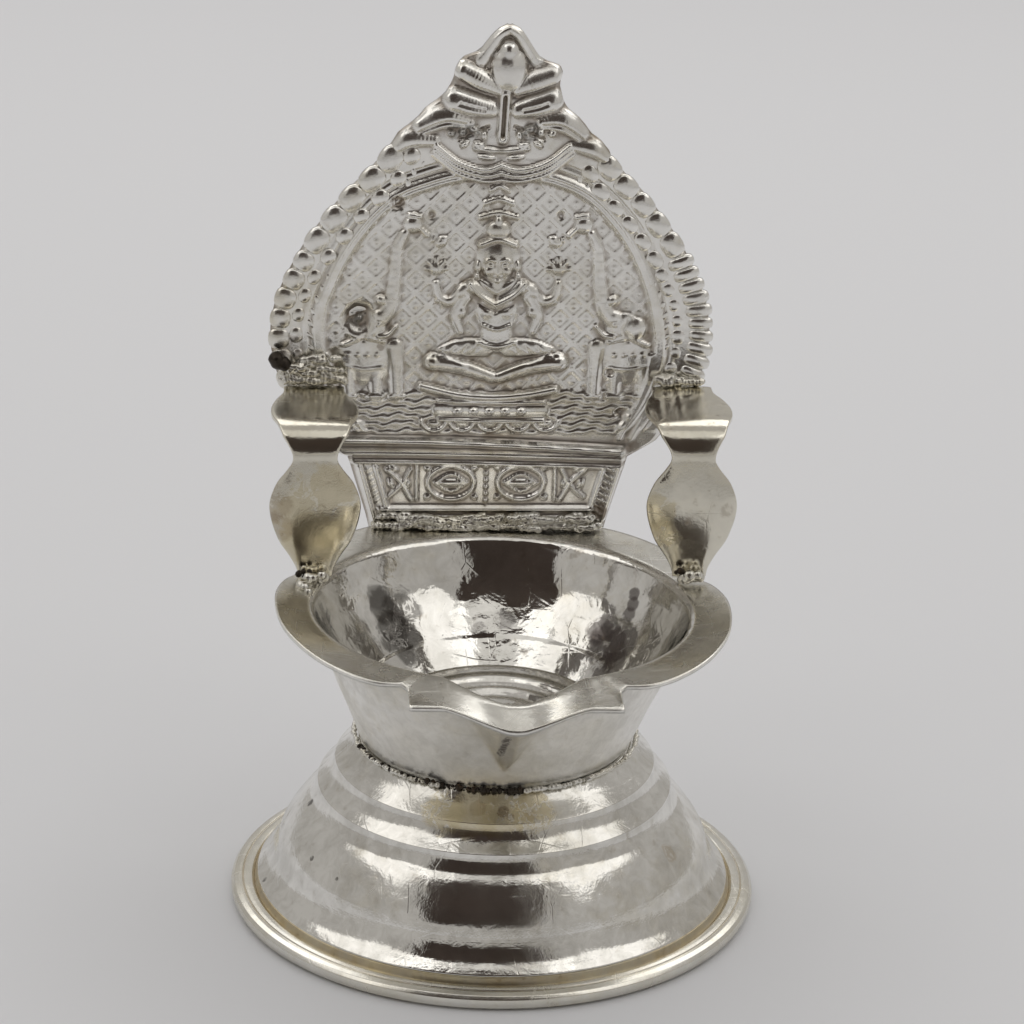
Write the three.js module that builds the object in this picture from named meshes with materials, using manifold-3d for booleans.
// A small silver standing lamp with a figured back plate. Millimetres, +Z up.
// The origin is the middle of the foot on the table, and the wick spout points along -Y.

import * as THREE from 'three';
import { mergeVertices } from 'three/addons/utils/BufferGeometryUtils.js';
import Module from 'manifold-3d';

const wasm = await Module();
wasm.setup();

// Clearance between neighbouring pieces, and between the skirt and the table
const clearance = 0.3;

// Foot ring: half-round wire round the edge of the foot
const ringRadius = 28.5;
const ringWidth = 2.6;
const ringHeight = 1.95;
const ringEdgeHeight = 0.6;

// Bowl: a pressed cup on the foot's seat, with a raised floor and a flange
const bowlSheet = 0.45;
const bowlDepth = 15;
const bowlBaseRadius = 14.6;
const bowlMouthRadius = 20.5;
const bowlCorner = 0.7;
const bowlBaseRingWidth = 1.6;
const floorEdgeWidth = 1.4;
const floorEdgeRadius = bowlBaseRadius - bowlBaseRingWidth - floorEdgeWidth;
const floorRingInset = 3;
const floorRingRadius = floorEdgeRadius - floorRingInset;
const floorEdgeRise = 3;
const floorRingRise = 1.9;
const floorCentreRise = 1.1;

// Foot: a spun, stepped shell that is open below, with a narrow flat seat on top
const footHeight = 18.5;
const footSheet = 0.45;
const footSeatRadius = bowlBaseRadius;
const footSeatWidth = 3.1;
const footSeatHoleRadius = footSeatRadius - footSeatWidth;
const footSkirtRadius = ringRadius - ringWidth - clearance;
// from the seat's edge to the skirt: share of the way out, share of the height
const footStepShares = [
  [0, 1], [0.08, 0.942], [0.242, 0.859], [0.25, 0.831], [0.3, 0.777], [0.411, 0.716],
  [0.431, 0.666], [0.47, 0.622], [0.568, 0.564], [0.638, 0.51], [0.718, 0.441], [0.766, 0.388],
  [0.81, 0.3], [0.843, 0.249], [0.896, 0.203], [0.954, 0.171], [1, 0.146]
];

// Flange: its outline round the bowl, and how far its side lobes curl up
const flangeWidth = 5.8;
const flangeReach = bowlMouthRadius + flangeWidth;
const flangeCurl = 1.2;
// degrees from the front, share of the reach; the narrow place is where a pillar stands
const flangeOutlineShares = [
  [27, 0.915], [33, 0.985], [45, 1], [62, 0.968], [80, 0.928], [96, 0.914], [106, 0.905],
  [112, 0.885], [119, 0.925], [134, 0.975], [150, 1.005], [180, 1]
];
// where the curl begins and ends, in shares of the way from the front to the back
const flangeCurlShares = [0.14, 0.6];

// Front tab with the pinched wick spout
const tabHalfWidth = 10.8;
const tabLength = 5.6;
const tabRootLength = 3.6;
const tabReach = bowlMouthRadius + tabLength;
const tabRootRadius = bowlMouthRadius + tabRootLength;
const tabDroop = 0.5;
const spoutFootHeight = 21.8;
const spoutHalfWidth = 7;
const spoutReach = 4.1;
const spoutRimDip = 0.9;
const spoutLipDip = 2.2;
const spoutLipHalfWidth = 5.2;
const spoutLipReach = 1;

// Pillars: bent baluster strips from the flange up and back to the plate
const pillarInset = 0.2;
const pillarSpacing = 2 * (bowlMouthRadius - pillarInset);
// the pair was soldered on a little to the right of the middle
const pillarShift = 0.9;
const pillarSetback = 7.5;
const pillarHeight = 16.9;
const pillarSheet = 0.8;
const pillarBendRadius = 3.2;
const pillarCamber = 0.7;
const pillarBellyWidth = 9.8;
// share of the upright, share of the belly's width
const pillarUprightShares = [
  [0, 0.36], [0.1, 0.42], [0.28, 0.8], [0.52, 1], [0.7, 0.86], [0.83, 0.58], [0.9, 0.54], [1, 0.68]
];
// share of the run back to the plate, share of the belly's width
const pillarCapShares = [
  [0, 0.7], [0.1, 0.74], [0.24, 0.92], [0.42, 0.97], [0.64, 0.86], [0.84, 0.68], [1, 0.7]
];

// Back plate: a stamping that stands on the flange
const plateHeight = 57.6;
const plateHalfWidth = 24.2;
const plateStandOff = 2.1;
const plateSetback = bowlMouthRadius + plateStandOff;
const plateSheet = 0.6;
const plateFootHalfWidth = 13.2;
const plateLedgeHeight = 8.5;
const plateLedgeHalfWidth = 15.6;
const plateLedgeThickness = 1.9;
const plateLedgeOverhang = 3.1;
const crownLean = 1;
const crownFootShare = 0.7;
// outline from the ledge up to the crown's tip: share of the half width, share of the height
const plateArchShares = [
  [0.785, 0.186], [0.87, 0.236], [0.95, 0.293], [0.99, 0.35], [1, 0.405], [0.979, 0.465],
  [0.92, 0.527], [0.847, 0.583], [0.765, 0.632], [0.669, 0.679], [0.585, 0.716], [0.504, 0.748]
];
const plateCrownShares = [
  [0.46, 0.775], [0.41, 0.8], [0.335, 0.83], [0.275, 0.86], [0.25, 0.885], [0.25, 0.915],
  [0.19, 0.932], [0.125, 0.945], [0.1, 0.965], [0.062, 0.985], [0, 1]
];

// Arch: the ridge round the picture and the two rows of beads outside it
const archRidgeRadius = 0.5;
const archRidgeRise = 0.6;
const beadRadius = 0.95;
const beadRise = 0.6;
const beadPitch = 2.7;
const pearlRadius = 0.8;
const pearlInset = 2.6;
// the ridge: share of the half width, share of the height
const archRidgeShares = [
  [0.62, 0.2], [0.73, 0.262], [0.78, 0.34], [0.785, 0.42], [0.75, 0.49], [0.66, 0.56],
  [0.53, 0.624], [0.36, 0.676], [0.18, 0.703]
];

// Seated figure on its lotus seat, in shares of its height over the seat's foot
const figureHeight = 22.6;
const figureFoot = 12.8;
const figureShift = 0.7;
const figureRise = 1.4;
const seatHalfWidth = 6.7;
const seatHeight = 2.1;
const seatRise = 0.9;
const petalCount = 7;
const studRadius = 0.45;
// place x, z; half width, half height, share of the figure's rise; tilt in degrees
const figureMiddleShares = [
  [0, 0.81, 0.1, 0.12, 0.85, 0], [0, 0.945, 0.07, 0.085, 0.7, 0], [0, 0.67, 0.12, 0.06, 0.75, 0],
  [0, 0.51, 0.105, 0.16, 0.85, 0], [0, 0.385, 0.15, 0.07, 0.9, 0], [0, 0.21, 0.17, 0.05, 0.9, 0],
  [0, 0.145, 0.25, 0.035, 0.6, 0]
];
// the same for a limb on the right, which is repeated on the left
const figureSideShares = [
  [0.18, 0.29, 0.2, 0.075, 1, 16], [0.1, 0.6, 0.07, 0.055, 0.6, -12], [0.19, 0.48, 0.035, 0.1, 0.6, 30],
  [0.2, 0.63, 0.035, 0.1, 0.55, -35], [0.28, 0.72, 0.05, 0.05, 0.6, 0]
];

// Elephants, in shares of their height: place x, z from the inner foot; half sizes; rise; tilt
const elephantHeight = 19.5;
const elephantInset = 10;
const elephantFoot = 15.6;
const elephantRise = 1.1;
const trunkRadius = 0.6;
const elephantShares = [
  [0.17, 0.17, 0.17, 0.14, 0.9, 0], [0.06, 0.08, 0.045, 0.1, 0.8, 0], [0.27, 0.08, 0.045, 0.1, 0.8, 0],
  [0.23, 0.38, 0.1, 0.09, 1, 0], [0.31, 0.31, 0.06, 0.08, 0.7, 0]
];
const trunkShares = [[0.2, 0.44], [0.15, 0.58], [0.1, 0.7], [0.09, 0.85], [0.01, 0.95]];

// Base panel: two ovals with a lens in each, and the bars that frame them
const panelHeight = 5.4;
const panelOvalSpacing = 8;
const panelOvalHalfWidth = 2.7;
const panelOvalHalfHeight = 2.4;
const panelBarRadius = 0.35;
const panelBarRise = 0.5;
const panelFrameHeight = 2.4;
const ledgeBarInset = 0.45;

// Crown: bud, stem and leaves, in shares of the crown's height over its foot
const crownHeight = 16.5;
const crownRise = 1.1;
const crownMiddleShares = [[0, 0.73, 0.115, 0.19, 1, 0], [0, 0.39, 0.055, 0.16, 0.8, 0]];
const crownSideShares = [
  [0.2, 0.66, 0.15, 0.055, 0.8, 22], [0.22, 0.52, 0.17, 0.06, 0.8, 8], [0.32, 0.29, 0.27, 0.075, 0.9, -20],
  [0.11, 0.36, 0.06, 0.06, 0.9, 0]
];
const braceShares = [[0.56, 0.24], [0.36, 0.2], [0.2, 0.03], [0.1, -0.01], [0, 0.03]];

// Solder: the run in the bowl's seam, the strip at the plate and the lumps at the pillars
const seamSolderRadius = 0.22;
const seamSolderRadiusOut = 0.6;
const seamSolderLift = 0.1;
const seamSolderGap = [-24, 4];
const plateSolderDepth = 0.9;
const plateSolderHeight = 1.3;
const plateSolderUnevenness = 0.2;
const footLumpHalfSize = [1.9, 0.7, 0.7];
const topLumpHalfSize = [2.6, 0.8, 0.6];

// How finely round forms are cut
const footSegments = 40;
const ringSegments = 48;
const bowlSegments = 60;
const wallSteps = 3;
const tabCornerStep = 4;
const ringArcSteps = 4;
const stripSteps = 24;
const stripColumns = 4;
const curveSteps = 3;
const bossColumns = 8;
const bossRows = 5;
const beadColumns = 5;
const beadRows = 3;
const tubeSides = 6;
const trunkSteps = 8;
const ridgeSteps = 14;
const solderSteps = 32;
const solderLumps = 14;

// Places worked out from the sizes above
const flangeTop = footHeight + bowlDepth;
const plateBack = plateSetback + plateSheet;
const bowlWallTop = flangeTop - bowlSheet;
const bowlStep = 2 * Math.PI / bowlSegments;
const tabRootAngle = Math.asin(tabHalfWidth / tabRootRadius);

function silver(color, roughness) {
  return new THREE.MeshStandardMaterial({ color, roughness, metalness: 1 });
}

const polished = silver(0xd9d5cb, 0.16);
const satin = silver(0xc9c5ba, 0.34);
const stamped = silver(0xd2cec2, 0.24);
const solder = silver(0xb9b2a2, 0.45);

// Every vertex of a geometry goes through place(point), which changes it
function warped(geometry, place) {
  const position = geometry.attributes.position;
  const point = new THREE.Vector3();
  for (let i = 0; i < position.count; i += 1) {
    point.fromBufferAttribute(position, i);
    place(point);
    position.setXYZ(i, point.x, point.y, point.z);
  }
  return geometry;
}

// A geometry as a closed solid, with only positions left and shared vertices merged
function toSolid(geometry) {
  const plain = geometry.clone();
  plain.deleteAttribute('normal');
  plain.deleteAttribute('uv');
  const closed = mergeVertices(plain);
  return new wasm.Manifold(new wasm.Mesh({
    numProp: 3,
    vertProperties: new Float32Array(closed.attributes.position.array),
    triVerts: new Uint32Array(closed.index.array)
  }));
}

function toGeometry(solid) {
  const mesh = solid.getMesh();
  const geometry = new THREE.BufferGeometry();
  geometry.setAttribute('position', new THREE.BufferAttribute(mesh.vertProperties, mesh.numProp));
  geometry.setIndex(new THREE.BufferAttribute(mesh.triVerts, 1));
  geometry.computeVertexNormals();
  return geometry;
}

function joined(geometries) {
  const solids = geometries.map(toSolid);
  return toGeometry(solids.slice(1).reduce((sum, next) => sum.add(next), solids[0]));
}

// The value at x of a smooth curve through [x, value] rows
function smoothAt(rows, x) {
  const last = rows.length - 1;
  const inside = THREE.MathUtils.clamp(x, rows[0][0], rows[last][0]);
  const next = Math.max(1, rows.findIndex((row) => row[0] >= inside));
  const slopeAt = (i) => {
    const [xBefore, vBefore] = rows[Math.max(i - 1, 0)];
    const [xAfter, vAfter] = rows[Math.min(i + 1, last)];
    return (vAfter - vBefore) / (xAfter - xBefore);
  };
  const [x0, v0] = rows[next - 1];
  const [x1, v1] = rows[next];
  const width = x1 - x0;
  const t = (inside - x0) / width;
  const rest = 1 - t;
  return v0 * rest * rest * (1 + 2 * t) + v1 * t * t * (1 + 2 * rest)
    + width * t * rest * (slopeAt(next - 1) * rest - slopeAt(next) * t);
}

// Closed outline of a bent sheet: the given face, and the other face one sheet away.
// side is 1 where the other face lies to the left of the way along, and -1 to the right.
// A point on the axis keeps its other face on the axis.
function sheetOutline(points, sheet, side) {
  const last = points.length - 1;
  const otherFace = points.map((point, i) => {
    if (point.x === 0) {
      return new THREE.Vector2(0, point.y + side * sheet);
    }
    const into = point.clone().sub(points[Math.max(i - 1, 0)]);
    const out = points[Math.min(i + 1, last)].clone().sub(point);
    const first = (i === 0 ? out : into).normalize();
    const second = (i === last ? into : out).normalize();
    const across = new THREE.Vector2(-first.y - second.y, first.x + second.x);
    return across.multiplyScalar(side * sheet / (1 + first.dot(second))).add(point);
  });
  return [...points, ...otherFace.reverse()];
}

// A body of revolution round Z; angle zero is at the front, along -Y
function spun(outline, segments, closedOnAxis) {
  const profile = closedOnAxis ? outline : [...outline, outline[0]];
  return new THREE.LatheGeometry(profile, segments).rotateX(Math.PI / 2);
}

function footOutline() {
  const seat = new THREE.Vector2(footSeatHoleRadius, footHeight);
  const steps = footStepShares.map(([out, up]) => new THREE.Vector2(
    THREE.MathUtils.lerp(footSeatRadius, footSkirtRadius, out), up * footHeight));
  const edge = new THREE.Vector2(footSkirtRadius, clearance);
  return sheetOutline([seat, ...steps, edge], footSheet, -1).reverse();
}

function ringOutline() {
  const inner = ringRadius - ringWidth;
  const crest = ringRadius - ringWidth / 2;
  const outline = [
    new THREE.Vector2(inner, 0),
    new THREE.Vector2(ringRadius - ringEdgeHeight / 2, 0),
    new THREE.Vector2(ringRadius, ringEdgeHeight / 2)
  ];
  for (let step = 0; step <= ringArcSteps; step += 1) {
    const turn = step / ringArcSteps * Math.PI / 2;
    outline.push(new THREE.Vector2(
      crest + (ringRadius - crest) * Math.cos(turn),
      ringEdgeHeight + (ringHeight - ringEdgeHeight) * Math.sin(turn)));
  }
  outline.push(new THREE.Vector2(inner, ringHeight - ringEdgeHeight / 2));
  return outline;
}

// Underside of the bowl from the middle of its floor out to the flange's edge
function bowlUnderside() {
  const points = [
    [0, footHeight + floorCentreRise],
    [floorRingRadius, footHeight + floorRingRise],
    [floorEdgeRadius, footHeight + floorEdgeRise],
    [bowlBaseRadius - bowlBaseRingWidth - bowlCorner / 2, footHeight],
    [bowlBaseRadius - bowlCorner / 2, footHeight]
  ];
  for (let step = 0; step <= wallSteps; step += 1) {
    const share = step / wallSteps;
    points.push([
      THREE.MathUtils.lerp(bowlBaseRadius + bowlCorner / 4, bowlMouthRadius, share),
      THREE.MathUtils.lerp(footHeight + bowlCorner, bowlWallTop, share)
    ]);
  }
  points.push([(bowlMouthRadius + flangeReach) / 2, bowlWallTop], [flangeReach, bowlWallTop]);
  return points.map(([radius, height]) => new THREE.Vector2(radius, height));
}

// The lathe's even steps are moved so that two of them fall on the tab's corner and its root
function flangeAngle(angle) {
  const even = Math.abs(angle);
  const steps = [0, tabCornerStep * bowlStep, (tabCornerStep + 1) * bowlStep, Math.PI];
  const places = [0, Math.atan2(tabHalfWidth, tabReach), tabRootAngle, Math.PI];
  const i = Math.max(1, steps.findIndex((value) => value >= even - bowlStep / bowlSegments));
  const share = (even - steps[i - 1]) / (steps[i] - steps[i - 1]);
  return Math.sign(angle) * THREE.MathUtils.lerp(places[i - 1], places[i], share);
}

// How far the flange reaches at an angle from the front; x is the place across the front
function flangeEdge(side, x, onTab) {
  if (!onTab) {
    return smoothAt(flangeOutlineShares, THREE.MathUtils.radToDeg(side)) * flangeReach;
  }
  const lip = spoutLipReach * Math.max(0, 1 - Math.abs(x) / spoutLipHalfWidth);
  const toFront = (tabReach + lip) / Math.cos(side);
  return x === 0 ? toFront : Math.min(toFront, tabHalfWidth / Math.sin(side));
}

// Turns the plain lathe into the real bowl: pinched spout, front tab and curled lobes
function shapeBowl(point) {
  const radius = Math.hypot(point.x, point.y);
  if (radius < bowlBaseRadius - bowlCorner) {
    return;
  }
  const angle = flangeAngle(Math.atan2(point.x, -point.y));
  const side = Math.abs(angle);
  const onTab = side - tabRootAngle < bowlStep / 2;
  const x = radius * Math.sin(angle);
  const up = Math.max(0, (point.z - spoutFootHeight) / (flangeTop - spoutFootHeight));
  const out = THREE.MathUtils.clamp((radius - bowlMouthRadius) / (flangeReach - bowlMouthRadius), 0, 1);
  const half = spoutHalfWidth * up;
  const near = THREE.MathUtils.smoothstep(onTab ? half - Math.abs(x) : 0, 0, half);
  const rim = Math.min(radius, bowlMouthRadius) + spoutReach * up * near;
  const edge = flangeEdge(side, bowlMouthRadius * Math.sin(angle), onTab);
  const placed = THREE.MathUtils.lerp(rim, edge, out);
  const trough = near * THREE.MathUtils.smoothstep(point.z, spoutFootHeight, bowlWallTop);
  const dip = trough * THREE.MathUtils.lerp(spoutRimDip, spoutLipDip, out);
  const droop = onTab ? tabDroop * out : 0;
  const [curlStart, curlEnd] = flangeCurlShares;
  const curlTurn = THREE.MathUtils.clamp((side / Math.PI - curlStart) / (curlEnd - curlStart), 0, 1);
  const curl = flangeCurl * Math.sin(curlTurn * Math.PI) * out * out;
  point.set(placed * Math.sin(angle), -placed * Math.cos(angle), point.z - dip - droop + curl);
}

// A bent baluster strip; across runs from -1 to 1 and along from 0 to 1
function pillarGeometry() {
  const run = plateSetback - beadRise - clearance - pillarSetback - pillarSheet / 2;
  const upright = pillarHeight - pillarBendRadius - clearance;
  const bend = pillarBendRadius * Math.PI / 2;
  const level = run - pillarBendRadius;
  const length = upright + bend + level;
  const strip = new THREE.BoxGeometry(2, 1, 1, stripColumns, stripSteps, 1);
  return warped(strip, (point) => {
    const along = (point.y + 1 / 2) * length;
    const across = -point.x;
    const offset = point.z * pillarSheet - pillarCamber * (1 - across * across) * Math.sin(
      Math.PI * THREE.MathUtils.clamp(along / upright, 0, 1));
    const turn = THREE.MathUtils.clamp((along - upright) / bend, 0, 1) * Math.PI / 2;
    const back = Math.max(0, along - upright - bend);
    const share = along < upright + bend / 2
      ? smoothAt(pillarUprightShares, along / (upright + bend / 2))
      : smoothAt(pillarCapShares, (along - upright - bend / 2) / (length - upright - bend / 2));
    const arm = pillarBendRadius - offset;
    point.set(
      across * share * pillarBellyWidth / 2,
      pillarSetback + pillarBendRadius - arm * Math.cos(turn) + back,
      flangeTop + clearance + Math.min(along, upright) + arm * Math.sin(turn));
  });
}

// Places on the plate's front face, from shares of a half width and a height
function onPlate(x, z, rise = 0) {
  const crownFoot = plateHeight * crownFootShare;
  const lean = crownLean * Math.max(0, (z - crownFoot) / (plateHeight - crownFoot));
  return new THREE.Vector3(x + lean, plateSetback - rise, flangeTop + z);
}

// Half the plate's outline from its foot to the tip, as points x and z over the flange
function plateHalfOutline() {
  const ledgeOut = plateLedgeHalfWidth + plateLedgeOverhang;
  const ledgeTop = plateLedgeHeight + plateLedgeThickness;
  const arch = new THREE.SplineCurve(plateArchShares.map(([x, z]) => new THREE.Vector2(
    x * plateHalfWidth, Math.max(z * plateHeight, ledgeTop))));
  return [
    new THREE.Vector2(plateFootHalfWidth, 0),
    new THREE.Vector2(plateLedgeHalfWidth, plateLedgeHeight),
    new THREE.Vector2(ledgeOut, ledgeTop),
    ...arch.getPoints(plateArchShares.length * curveSteps).slice(1),
    ...plateCrownShares.map(([x, z]) => new THREE.Vector2(x * plateHalfWidth, z * plateHeight))
  ];
}

function plateSheetGeometry() {
  const half = plateHalfOutline();
  const lean = (point, side) => {
    const place = onPlate(side * point.x, point.y);
    return new THREE.Vector2(place.x, place.z);
  };
  const left = half.slice(0, -1).map((point) => lean(point, -1)).reverse();
  const shape = new THREE.Shape([...half.map((point) => lean(point, 1)), ...left]);
  const sheet = new THREE.ExtrudeGeometry(shape, { depth: plateSheet, bevelEnabled: false });
  return sheet.rotateX(Math.PI / 2).translate(0, plateBack, 0);
}

// A raised form stands out of the plate's front, and its back half stays within the sheet
function raised(geometry, rise) {
  return warped(geometry, (point) => {
    const out = plateSetback - point.y;
    point.y = plateSetback - Math.max(out * rise, -plateSheet / 2);
  });
}

// A raised oval on the plate: half width, half height, rise, and tilt in degrees
function boss(x, z, halfWidth, halfHeight, rise, tilt = 0, columns = bossColumns, rows = bossRows) {
  const oval = new THREE.SphereGeometry(1, columns, rows).rotateX(Math.PI / 2);
  oval.scale(halfWidth, 1, halfHeight);
  oval.rotateY(THREE.MathUtils.degToRad(-tilt));
  const place = onPlate(x, z);
  return raised(oval.translate(place.x, place.y, place.z), rise);
}

// Raised ovals from rows of shares: x, z, half sizes, share of the rise, tilt
function bosses(rows, size, foot, rise, side, shift = 0) {
  return rows.map(([x, z, halfWidth, halfHeight, up, tilt]) => boss(
    side * x * size + shift, foot + z * size, halfWidth * size, halfHeight * size, up * rise, side * tilt));
}

// A half-round ridge along a path of points x and z on the plate
function ridge(points, radius, rise, steps) {
  const path = new THREE.CatmullRomCurve3(points.map(([x, z]) => onPlate(x, z)));
  const section = new THREE.Shape();
  section.absarc(0, 0, radius, 0, Math.PI * 2);
  const tube = new THREE.ExtrudeGeometry(section, {
    extrudePath: path, steps, curveSegments: tubeSides / 2, bevelEnabled: false
  });
  return raised(tube, rise / radius);
}

// Evenly spaced round beads along the arch, set in from the plate's edge
function beadRow(side, inset, radius) {
  const places = plateArchShares.slice(2).map(([x, z]) => new THREE.Vector2(
    x * plateHalfWidth - inset, z * plateHeight));
  const path = new THREE.SplineCurve(places);
  const count = Math.round(path.getLength() / beadPitch);
  return path.getSpacedPoints(count).map((point) => boss(
    side * point.x, point.y, radius, radius, beadRise, 0, beadColumns, beadRows));
}

// Rows of shares as places on the left (side -1) or the right (side 1) of the plate
function mirroredShares(rows, width, height, side, foot = 0) {
  return rows.map(([x, z]) => [side * x * width, foot + z * height]);
}

function archGeometries(side) {
  return [
    ridge(mirroredShares(archRidgeShares, plateHalfWidth, plateHeight, side), archRidgeRadius,
      archRidgeRise, ridgeSteps),
    ...beadRow(side, beadRadius / 2, beadRadius),
    ...beadRow(side, pearlInset, pearlRadius)
  ];
}

function figureGeometries() {
  const seat = [];
  const bandAt = figureFoot + seatHeight * 2 / 3;
  for (let i = 0; i < petalCount; i += 1) {
    const x = figureShift + seatHalfWidth * ((2 * i + 1) / petalCount - 1);
    seat.push(boss(x, figureFoot, seatHalfWidth / petalCount, seatHeight / 2, seatRise));
    seat.push(boss(x, bandAt, studRadius, studRadius, figureRise, 0, beadColumns, beadRows));
  }
  const seatEnds = [-1, 0, 1].map((end) => [figureShift + end * seatHalfWidth, bandAt]);
  return [
    ...seat,
    ridge(seatEnds, seatHeight / 2, seatRise, curveSteps),
    ...bosses(figureMiddleShares, figureHeight, figureFoot, figureRise, 1, figureShift),
    ...bosses(figureSideShares, figureHeight, figureFoot, figureRise, 1, figureShift),
    ...bosses(figureSideShares, figureHeight, figureFoot, figureRise, -1, figureShift)
  ];
}

function elephantGeometries(side) {
  const rows = elephantShares.map(([x, ...rest]) => [x + elephantInset / elephantHeight, ...rest]);
  const trunk = trunkShares.map(([x, z]) => [
    side * (elephantInset + x * elephantHeight), elephantFoot + z * elephantHeight]);
  return [
    ...bosses(rows, elephantHeight, elephantFoot, elephantRise, side),
    ridge(trunk, trunkRadius, elephantRise, trunkSteps)
  ];
}

function panelGeometries() {
  const taper = (plateLedgeHalfWidth - plateFootHalfWidth) / plateLedgeHeight;
  const halfAt = (z) => plateFootHalfWidth + taper * z - panelBarRadius * 2;
  const levels = [
    panelFrameHeight,
    plateLedgeHeight - ledgeBarInset,
    plateLedgeHeight + plateLedgeThickness - ledgeBarInset
  ];
  const bars = levels.map((z) => ridge(
    [[-halfAt(z), z], [0, z], [halfAt(z), z]], panelBarRadius, panelBarRise, curveSteps));
  const ovals = [-1, 1].flatMap((side) => {
    const ring = new THREE.TorusGeometry(1, panelBarRadius / panelOvalHalfWidth, tubeSides, bossColumns);
    ring.rotateX(Math.PI / 2);
    ring.scale(panelOvalHalfWidth, panelOvalHalfWidth, panelOvalHalfHeight);
    const place = onPlate(side * panelOvalSpacing / 2, panelHeight);
    raised(ring.translate(place.x, place.y, place.z), panelBarRise / panelBarRadius);
    const lens = boss(side * panelOvalSpacing / 2, panelHeight,
      panelOvalHalfWidth / 2, panelOvalHalfHeight / 4, panelBarRise);
    return [ring, lens];
  });
  return [...bars, ...ovals];
}

function crownGeometries() {
  const foot = plateHeight * crownFootShare;
  return [
    ...bosses(crownMiddleShares, crownHeight, foot, crownRise, 1),
    ...[-1, 1].flatMap((side) => [
      ...bosses(crownSideShares, crownHeight, foot, crownRise, side),
      ridge(mirroredShares(braceShares, crownHeight, crownHeight, side, foot), archRidgeRadius, archRidgeRise,
        trunkSteps)
    ])
  ];
}

function plateGeometry() {
  return joined([
    plateSheetGeometry(),
    ...[-1, 1].flatMap((side) => [...archGeometries(side), ...elephantGeometries(side)]),
    ...figureGeometries(),
    ...panelGeometries(),
    ...crownGeometries()
  ]);
}

// Solder run in the seam, all round but for the gap left at the front
function seamSolderGeometry() {
  const radius = footSeatRadius + seamSolderRadiusOut;
  const [gapStart, gapEnd] = seamSolderGap.map(THREE.MathUtils.degToRad);
  const height = footHeight + seamSolderLift;
  const points = [];
  for (let step = 0; step <= solderSteps; step += 1) {
    const angle = THREE.MathUtils.lerp(gapEnd, gapStart + 2 * Math.PI, step / solderSteps);
    points.push(new THREE.Vector3(radius * Math.sin(angle), -radius * Math.cos(angle), height));
  }
  const section = new THREE.Shape();
  section.absarc(0, 0, seamSolderRadius, 0, Math.PI * 2);
  return new THREE.ExtrudeGeometry(section, {
    extrudePath: new THREE.CatmullRomCurve3(points), steps: solderSteps, curveSegments: tubeSides / 2,
    bevelEnabled: false
  });
}

function plateSolderGeometry() {
  const width = 2 * plateFootHalfWidth - plateSolderDepth;
  const strip = new THREE.BoxGeometry(width, plateSolderDepth, plateSolderHeight, solderLumps, 1, 1);
  warped(strip, (point) => {
    const lump = plateSolderUnevenness * Math.sin(point.x / width * solderLumps * 2) * Math.cos(point.x);
    const high = point.z > 0 ? lump - (point.y < 0 ? plateSolderHeight / 2 : 0) : 0;
    point.z += high;
  });
  return strip.translate(0, plateSetback - clearance - plateSolderDepth / 2,
    flangeTop + clearance + plateSolderHeight / 2);
}

function lumpGeometry([halfWidth, halfDepth, halfHeight]) {
  return new THREE.SphereGeometry(1, bossColumns, bossRows).rotateX(Math.PI / 2)
    .scale(halfWidth, halfDepth, halfHeight);
}

function node(name, geometry, material) {
  const mesh = new THREE.Mesh(geometry, material);
  mesh.name = name;
  return mesh;
}

function pillarGroup(prefix, side) {
  const group = new THREE.Group();
  group.position.x = side * pillarSpacing / 2 + pillarShift;
  const footLump = node(`${prefix}_pillar_foot_solder`, lumpGeometry(footLumpHalfSize), solder);
  footLump.position.set(0, pillarSetback - pillarSheet / 2 - clearance - footLumpHalfSize[1],
    flangeTop + clearance + footLumpHalfSize[2]);
  const topLump = node(`${prefix}_pillar_top_solder`, lumpGeometry(topLumpHalfSize), solder);
  topLump.position.set(0, plateSetback - beadRise - clearance - topLumpHalfSize[1],
    flangeTop + pillarHeight + pillarSheet / 2 + clearance + topLumpHalfSize[2]);
  group.add(node(`${prefix}_pillar`, pillarGeometry(), polished), footLump, topLump);
  return group;
}

function bowlGeometry() {
  const outline = sheetOutline(bowlUnderside(), bowlSheet, 1);
  return warped(spun(outline, bowlSegments, true), shapeBowl);
}

const lamp = new THREE.Group();
lamp.add(
  node('foot_ring', spun(ringOutline(), ringSegments, false), polished),
  node('foot_shell', spun(footOutline(), footSegments, false), polished),
  node('bowl', bowlGeometry(), satin),
  node('bowl_seam_solder', seamSolderGeometry(), solder),
  node('back_plate', plateGeometry(), stamped),
  node('plate_foot_solder', plateSolderGeometry(), solder),
  pillarGroup('left', -1),
  pillarGroup('right', 1)
);

export default lamp;
